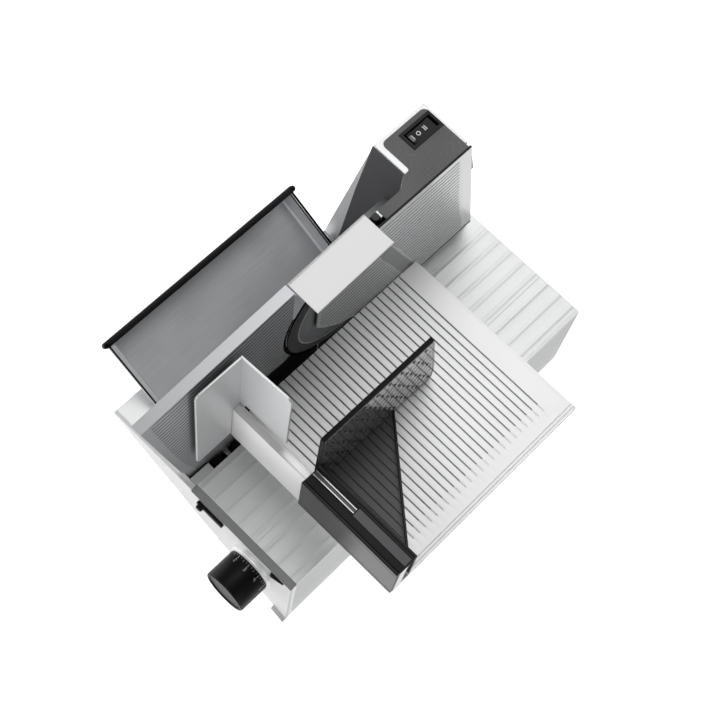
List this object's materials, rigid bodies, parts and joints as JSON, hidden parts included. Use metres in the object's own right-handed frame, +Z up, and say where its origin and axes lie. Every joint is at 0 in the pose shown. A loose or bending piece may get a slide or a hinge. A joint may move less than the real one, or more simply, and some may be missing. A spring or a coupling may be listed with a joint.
{
  "type": "food slicer",
  "caption": "Tilted electric food slicer with round blade, sliding grooved table, remnant holder, thickness dial, rocker switch tower and slice tray",
  "frame": {"origin": "on the floor under the middle of the box round the whole machine at rest", "axes": "+Z up, true vertical; +Y to the rear, away from the dial; +X to the right, the side the table rises to; the machine leans 26.6 degrees to -X"},
  "size_m": [0.315, 0.431, 0.2603],
  "materials": {
    "housing_aluminium": "bead-blasted, soft sheen",
    "bottom_sheet": "brushed",
    "front_light_grey": "satin light grey",
    "trim_grey": "satin grey",
    "foot_rubber": "matt",
    "screw_steel": "plain zinc",
    "tower_aluminium": "silver anodised",
    "panel_dark_grey": "fine grained dark grey",
    "switch_black": "matt black",
    "cover_polished": "ribbed and polished",
    "hood_white": "satin off-white",
    "knurl_black": "knurled",
    "arm_casting": "fine cast grey",
    "bearing_bronze": "turned",
    "motor_steel": "zinc grey",
    "rod_steel": "ground and polished",
    "guide_black": "moulded black",
    "collar_silver": "turned silver",
    "mark_black": "printed black",
    "gauge_aluminium": "ribbed, anodised",
    "dial_black": "black with white marks",
    "cam_plastic": "natural moulded",
    "blade_steel": "ground stainless",
    "rotor_copper": "varnished winding",
    "table_aluminium": "grooved, satin",
    "wall_aluminium": "satin",
    "guard_sheet": "fine satin",
    "holder_black": "satin black",
    "holder_rail_black": "black",
    "strip_bright": "bright",
    "pusher_black": "black with small cleats",
    "web_smoked": "smoked clear plastic",
    "rocker_black": "black with white I O II",
    "tray_steel": "brushed stainless",
    "tray_edge_black": "black edging"
  },
  "bodies": {
    "base": {"base_housing": "housing_aluminium", "base_plate": "bottom_sheet", "front_panel": "front_light_grey", "front_trim": "trim_grey", "rubber_feet": "foot_rubber", "base_screws": "screw_steel", "motor_tower": "tower_aluminium", "tower_top_panel": "panel_dark_grey", "switch_housing": "switch_black", "side_cover": "cover_polished", "blade_hood": "hood_white", "cover_screw": "knurl_black", "drive_arm": "arm_casting", "arm_cover": "arm_casting", "blade_bush": "bearing_bronze", "motor_can": "motor_steel", "motor_bracket": "motor_steel", "motor_bushes": "bearing_bronze", "sled_rods": "rod_steel", "rod_mounts": "guide_black", "gauge_bushes": "guide_black", "dial_collar": "collar_silver", "dial_pointer": "mark_black", "cord_gland": "switch_black", "rear_bumper": "trim_grey"},
    "gauge": {"gauge_plate": "gauge_aluminium", "gauge_feet": "guide_black", "gauge_guides": "rod_steel", "gauge_crossbar": "arm_casting", "gauge_link": "bottom_sheet", "cam_pin": "rod_steel"},
    "dial": {"dial_knob": "dial_black", "dial_spindle": "rod_steel", "cam_disc": "cam_plastic"},
    "blade": {"slicing_blade": "blade_steel", "blade_hub": "cam_plastic", "blade_shaft": "rod_steel", "worm_wheel": "cam_plastic"},
    "rotor": {"motor_rotor": "rotor_copper", "worm_shaft": "rod_steel", "cooling_fan": "switch_black"},
    "sled": {"sled_table": "table_aluminium", "sled_front_wall": "wall_aluminium", "thumb_guard": "guard_sheet", "sled_stem": "arm_casting", "sled_carriage": "guide_black", "sled_bushes": "cam_plastic"},
    "holder": {"holder_channel": "holder_black", "holder_rails": "holder_rail_black", "holder_strip": "strip_bright", "pusher_plate": "pusher_black", "holder_web": "web_smoked"},
    "rocker": {"switch_rocker": "rocker_black"},
    "lock": {"lock_slider": "switch_black"},
    "tray": {"catch_tray": "tray_steel", "tray_edge": "tray_edge_black"}
  },
  "joints": [
    {"name": "sled_slide", "type": "slide", "parent": "base", "child": "sled", "axis": [0, 1, 0], "range_m": [-0.06, 0.11]},
    {"name": "holder_slide", "type": "slide", "parent": "sled", "child": "holder", "axis": [0.8942, 0, 0.4478], "range_m": [-0.08, 0]},
    {"name": "gauge_slide", "type": "slide", "parent": "base", "child": "gauge", "axis": [0.8942, 0, 0.4478], "range_m": [-0.018, 0.002]},
    {"name": "dial_spin", "type": "hinge", "parent": "base", "child": "dial", "pos_m": [0.08008, -0.1955, 0.05729], "axis": [0, 1, 0], "range_deg": [-33.5, 297.5]},
    {"name": "blade_spin", "type": "hinge", "parent": "base", "child": "blade", "pos_m": [-0.07024, 0.0295, 0.15649], "axis": [0.8942, 0, 0.4478], "continuous": true},
    {"name": "rotor_spin", "type": "hinge", "parent": "base", "child": "rotor", "pos_m": [-0.08073, 0.1095, 0.12271], "axis": [0, 1, 0], "continuous": true},
    {"name": "rocker_tilt", "type": "hinge", "parent": "base", "child": "rocker", "pos_m": [-0.13982, 0.1305, 0.21223], "axis": [0.8942, 0, 0.4478], "range_deg": [-10, 10]},
    {"name": "lock_slide", "type": "slide", "parent": "base", "child": "lock", "axis": [0.8942, 0, 0.4478], "range_m": [0, 0.008]},
    {"name": "tray_slide", "type": "slide", "parent": "base", "child": "tray", "axis": [1, 0, 0], "range_m": [-0.12, 0]}
  ],
  "couplings": [
    {"joint": "dial_spin", "follows": "gauge_slide", "rad_per_m": -287.98},
    {"joint": "rotor_spin", "follows": "blade_spin", "ratio": 30}
  ]
}
